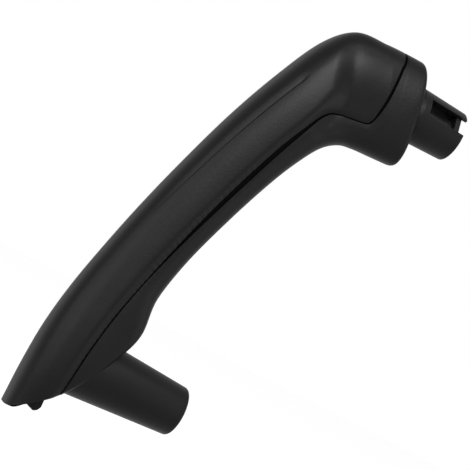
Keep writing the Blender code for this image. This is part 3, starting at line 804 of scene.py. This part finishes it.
# Finishes: moulded black plastic with a fine grain, turned and rolled steel
def newGroup(name, inputs, outputs):
    # a shader node group with its sockets, and its input and output nodes
    group = bpy.data.node_groups.new(name, "ShaderNodeTree")
    for label, kind in inputs:
        group.interface.new_socket(name=label, in_out="INPUT", socket_type="NodeSocket" + kind)
    for label, kind in outputs:
        group.interface.new_socket(name=label, in_out="OUTPUT", socket_type="NodeSocket" + kind)
    return group, group.nodes.new("NodeGroupInput").outputs, group.nodes.new("NodeGroupOutput").inputs


def addNode(tree, kind, **settings):
    node = tree.nodes.new(kind)
    for name, value in settings.items():
        setattr(node, name, value)
    return node


def addMottle(group, given, put, noise):
    # colour and roughness run between two values with a noise
    colour = addNode(group, "ShaderNodeMix", data_type="RGBA")
    group.links.new(noise, colour.inputs["Factor"])
    group.links.new(given["Dark"], colour.inputs[6])
    group.links.new(given["Light"], colour.inputs[7])
    group.links.new(colour.outputs[2], put["Color"])
    level = addNode(group, "ShaderNodeMapRange")
    group.links.new(noise, level.inputs["Value"])
    group.links.new(given["Smooth"], level.inputs["To Min"])
    group.links.new(given["Rough"], level.inputs["To Max"])
    group.links.new(level.outputs["Result"], put["Roughness"])


def addBump(group, given, put, height):
    bump = addNode(group, "ShaderNodeBump")
    group.links.new(given["Depth"], bump.inputs["Distance"])
    group.links.new(height, bump.inputs["Height"])
    group.links.new(bump.outputs[0], put["Normal"])


finishInputs = [("Vector", "Vector"), ("Scale", "Float"), ("Mottle Scale", "Float"), ("Depth", "Float"),
                ("Dark", "Color"), ("Light", "Color"), ("Smooth", "Float"), ("Rough", "Float")]
finishOutputs = [("Color", "Color"), ("Roughness", "Float"), ("Normal", "Vector")]


grain = {"pitDetail": 3, "pitRoughness": 0.62, "mottleDetail": 4, "pitShare": 0.45, "mottleShare": 0.55}
toolMarks = {"stretch": (0.06, 1, 0.06), "lineDetail": 2, "mottleDetail": 3}


def makeGrainGroup():
    # moulded grain: fine rounded pits over a slow mottling
    group, given, put = newGroup("mouldedGrain", finishInputs, finishOutputs)
    links = group.links
    pits = addNode(group, "ShaderNodeTexNoise")
    pits.inputs["Detail"].default_value = grain["pitDetail"]
    pits.inputs["Roughness"].default_value = grain["pitRoughness"]
    mottle = addNode(group, "ShaderNodeTexNoise")
    mottle.inputs["Detail"].default_value = grain["mottleDetail"]
    for noise, scale in ((pits, "Scale"), (mottle, "Mottle Scale")):
        links.new(given["Vector"], noise.inputs["Vector"])
        links.new(given[scale], noise.inputs["Scale"])
    both = addNode(group, "ShaderNodeMath", operation="MULTIPLY_ADD")
    both.inputs[1].default_value = grain["pitShare"]
    links.new(pits.outputs[0], both.inputs[0])
    half = addNode(group, "ShaderNodeMath", operation="MULTIPLY")
    half.inputs[1].default_value = grain["mottleShare"]
    links.new(mottle.outputs[0], half.inputs[0])
    links.new(half.outputs[0], both.inputs[2])
    addMottle(group, given, put, both.outputs[0])
    addBump(group, given, put, pits.outputs[0])
    return group


def makeLinesGroup():
    # fine lines square to Y, as a turning tool or a roll leaves them, over a slow mottling
    group, given, put = newGroup("toolLines", finishInputs, finishOutputs)
    links = group.links
    stretch = addNode(group, "ShaderNodeVectorMath", operation="MULTIPLY")
    stretch.inputs[1].default_value = toolMarks["stretch"]
    links.new(given["Vector"], stretch.inputs[0])
    marks = addNode(group, "ShaderNodeTexNoise")
    marks.inputs["Detail"].default_value = toolMarks["lineDetail"]
    mottle = addNode(group, "ShaderNodeTexNoise")
    mottle.inputs["Detail"].default_value = toolMarks["mottleDetail"]
    links.new(stretch.outputs[0], marks.inputs["Vector"])
    links.new(given["Scale"], marks.inputs["Scale"])
    links.new(given["Vector"], mottle.inputs["Vector"])
    links.new(given["Mottle Scale"], mottle.inputs["Scale"])
    addMottle(group, given, put, mottle.outputs[0])
    addBump(group, given, put, marks.outputs[0])
    return group


def makeFinish(name, group, finish, metallic, specular):
    made = bpy.data.materials.new(name)
    made.use_nodes = True
    tree = made.node_tree
    shader = tree.nodes["Principled BSDF"]
    shader.inputs["Metallic"].default_value = metallic
    shader.inputs["Specular IOR Level"].default_value = specular
    effect = addNode(tree, "ShaderNodeGroup", node_tree=group)
    for label, value in finish.items():
        effect.inputs[label].default_value = (*value, 1) if isinstance(value, tuple) else value
    place = addNode(tree, "ShaderNodeTexCoord")
    tree.links.new(place.outputs["Object"], effect.inputs["Vector"])
    for out, socket in (("Color", "Base Color"), ("Roughness", "Roughness"), ("Normal", "Normal")):
        tree.links.new(effect.outputs[out], shader.inputs[socket])
    return made


mouldedGrain, toolLines = makeGrainGroup(), makeLinesGroup()
coverPlastic = makeFinish("coverPlastic", mouldedGrain, {
    "Scale": 1100.0, "Mottle Scale": 70.0, "Depth": 0.00007, "Smooth": 0.34, "Rough": 0.44,
    "Dark": (0.0016, 0.0016, 0.0019), "Light": (0.0034, 0.0034, 0.0037)}, 0.0, 0.07)
carrierPlastic = makeFinish("carrierPlastic", mouldedGrain, {
    "Scale": 850.0, "Mottle Scale": 55.0, "Depth": 0.00009, "Smooth": 0.38, "Rough": 0.5,
    "Dark": (0.0015, 0.0015, 0.0016), "Light": (0.0034, 0.0034, 0.0034)}, 0.0, 0.07)
# the inside, the seam's walls and the lips: darker than the plastic and without sheen, painted shade that keeps the
# seam black
paintedShadeInside = makeFinish("paintedShadeInside", mouldedGrain, {
    "Scale": 700.0, "Mottle Scale": 40.0, "Depth": 0.00002, "Smooth": 0.75, "Rough": 0.9,
    "Dark": (0.001, 0.001, 0.001), "Light": (0.002, 0.002, 0.002)}, 0.0, 0.0)
sleeveSteel = makeFinish("sleeveSteel", toolLines, {
    "Scale": 2600.0, "Mottle Scale": 160.0, "Depth": 0.00001, "Smooth": 0.36, "Rough": 0.5,
    "Dark": (0.03, 0.029, 0.027), "Light": (0.055, 0.053, 0.05)}, 1.0, 0.5)
clipSteel = makeFinish("clipSteel", toolLines, {
    "Scale": 1800.0, "Mottle Scale": 220.0, "Depth": 0.00001, "Smooth": 0.24, "Rough": 0.38,
    "Dark": (0.36, 0.36, 0.37), "Light": (0.5, 0.5, 0.51)}, 1.0, 0.5)


def paint(thing, material, inside=None):
    # every slot takes the material, but the shells' inside slots take their own darker finish, painted shade for the
    # inside and the seam's walls
    if not thing.material_slots:
        thing.data.materials.append(material)
    for slot in thing.material_slots:
        slot.material = inside if inside and slot.material and slot.material.name == "inside" else material


paint(gripCover, coverPlastic, paintedShadeInside)
paint(handleCarrier, carrierPlastic, paintedShadeInside)
paint(lowerSleeve, sleeveSteel)
paint(upperSleeve, sleeveSteel)
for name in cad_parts:
    if name.startswith("cover_clip"):
        paint(bpy.data.objects[name], clipSteel)
print("finishes ready")

# Floor, light and camera. A lamp is given by its direction from the handle, distance, size and power.
studio = {
    "floorZ": -0.12, "floorSize": 6.0, "floorColour": (0.8, 0.8, 0.8, 1), "floorRough": 0.9, "floorGlow": 1.3,
    "glowShare": 0.7, "ambient": 0.16, "white": 1.0,
    "aim": (-1.859, -15.108, 85.28), "distance": 1100.0, "azimuth": 70.0, "roll": 28.2, "frameWidth": 217.6,
    "sensor": 36, "clip": (0.05, 20),
    "lamps": {
        "key": ((0.825, -0.141, 0.555), 1.5, 0.8, 49), "side": ((0.61, -0.77, 0.22), 1.6, 0.9, 15),
        "front": ((0.16, -0.98, 0.1), 1.6, 0.8, 9), "above": ((0.5, 0.34, 0.8), 1.5, 0.6, 6),
        "back": ((0.52, 0.85, 0.06), 1.5, 0.9, 8),
    },
}


def seenRays(tree):
    # 1 for the camera's, glossy and transmission rays, which see the white background, and 0 for diffuse ones
    rays = addNode(tree, "ShaderNodeLightPath")
    total = rays.outputs["Is Camera Ray"]
    for label in ("Is Glossy Ray", "Is Transmission Ray"):
        add = addNode(tree, "ShaderNodeMath", operation="ADD", use_clamp=True)
        tree.links.new(total, add.inputs[0])
        tree.links.new(rays.outputs[label], add.inputs[1])
        total = add.outputs[0]
    return total


def makeFloor():
    deselectAll()
    bpy.ops.mesh.primitive_plane_add(size=studio["floorSize"], location=(0, 0, studio["floorZ"]))
    floor = bpy.context.object
    floor.name = "floor"
    bpy.ops.object.transform_apply(location=True, rotation=True, scale=True)
    made = bpy.data.materials.new("floorWhite")
    made.use_nodes = True
    nodes, links = made.node_tree.nodes, made.node_tree.links
    shader, out = nodes["Principled BSDF"], nodes["Material Output"]
    shader.inputs["Base Color"].default_value = studio["floorColour"]
    shader.inputs["Roughness"].default_value = studio["floorRough"]
    glow = nodes.new("ShaderNodeEmission")
    glow.inputs["Strength"].default_value = studio["floorGlow"]
    mix = nodes.new("ShaderNodeMixShader")
    share = addNode(made.node_tree, "ShaderNodeMath", operation="MULTIPLY")
    share.inputs[1].default_value = studio["glowShare"]
    links.new(seenRays(made.node_tree), share.inputs[0])
    links.new(share.outputs[0], mix.inputs[0])
    links.new(shader.outputs[0], mix.inputs[1])
    links.new(glow.outputs[0], mix.inputs[2])
    links.new(mix.outputs[0], out.inputs["Surface"])
    floor.data.materials.append(made)


def makeWorld():
    world = bpy.data.worlds.new("studio")
    bpy.context.scene.world = world
    world.use_nodes = True
    nodes, links = world.node_tree.nodes, world.node_tree.links
    backdrop = nodes["Background"]
    backdrop.inputs["Color"].default_value = (1, 1, 1, 1)
    level = nodes.new("ShaderNodeMapRange")
    level.inputs["To Min"].default_value = studio["ambient"]
    level.inputs["To Max"].default_value = studio["white"]
    links.new(seenRays(world.node_tree), level.inputs["Value"])
    links.new(level.outputs[0], backdrop.inputs["Strength"])


def addLamp(name, toward, distance, size, power):
    data = bpy.data.lights.new(name, "AREA")
    data.shape, data.size, data.energy = "DISK", size, power
    lamp = bpy.data.objects.new(name, data)
    bpy.context.collection.objects.link(lamp)
    toward = Vector(toward).normalized()
    aim = Vector(studio["aim"]) * mm
    lamp.location = aim + toward * distance
    lamp.rotation_euler = toward.to_track_quat("Z", "Y").to_euler()


def makeCamera():
    data = bpy.data.cameras.new("camera")
    camera = bpy.data.objects.new("camera", data)
    bpy.context.collection.objects.link(camera)
    data.sensor_width = data.sensor_height = studio["sensor"]
    data.sensor_fit = "HORIZONTAL"
    data.lens = studio["sensor"] * studio["distance"] / studio["frameWidth"]
    az, roll = radians(studio["azimuth"]), radians(studio["roll"])
    back = Vector((sin(az), -cos(az), 0))
    side, up = Vector((cos(az), sin(az), 0)), Vector((0, 0, 1))
    right, top = side * cos(roll) + up * sin(roll), up * cos(roll) - side * sin(roll)
    turn = Matrix((right, top, back)).transposed().to_4x4()
    camera.matrix_world = Matrix.Translation((Vector(studio["aim"]) + back * studio["distance"]) * mm) @ turn
    data.clip_start, data.clip_end = studio["clip"]
    bpy.context.scene.camera = camera


makeFloor()
makeWorld()
for name, values in studio["lamps"].items():
    addLamp(name, *values)
makeCamera()
bpy.context.scene.view_settings.view_transform = "Standard"
print("studio ready")
